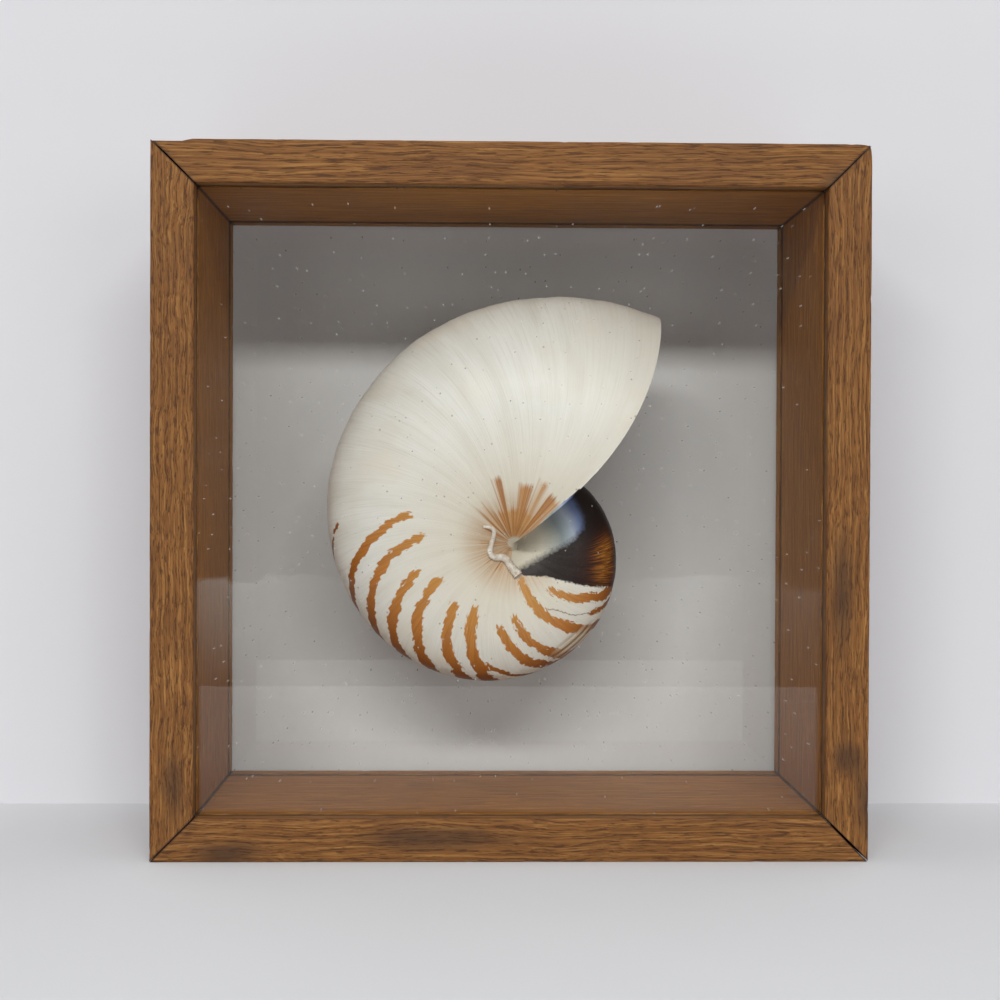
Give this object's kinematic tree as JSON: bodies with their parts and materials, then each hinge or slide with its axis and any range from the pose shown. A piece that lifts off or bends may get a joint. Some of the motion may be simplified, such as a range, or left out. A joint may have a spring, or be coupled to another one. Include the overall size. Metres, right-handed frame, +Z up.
{
  "type": "nautilus shell in a shadow box",
  "caption": "Striped nautilus shell standing between clear panes in a square, deep, mitred oak shadow box that is open to view from front and back.",
  "frame": {"origin": "centre of the bottom board's underside", "axes": "+Z up, -Y out of the front pane, +X to the right seen from the front; the shell coils about an axis along Y and its mouth faces +X and up"},
  "size_m": [0.305, 0.114, 0.305],
  "materials": {
    "oak": "stained, worn",
    "glass": "clear",
    "shell": "satin, striped",
    "worm_tube": "chalky",
    "silicone": "clear, soft",
    "steel": "plain"
  },
  "bodies": {
    "root": {"frame_bottom": "oak", "frame_top": "oak", "frame_right": "oak", "frame_left": "oak", "front_glass": "glass", "back_glass": "glass", "nail_1": "steel", "nail_2": "steel", "nail_3": "steel", "nail_4": "steel", "nail_5": "steel", "nail_6": "steel", "nail_7": "steel", "nail_8": "steel", "nautilus_shell": "shell", "worm_tube": "worm_tube", "silicone_dab_1": "silicone", "silicone_dab_2": "silicone", "silicone_dab_3": "silicone"}
  },
  "joints": []
}
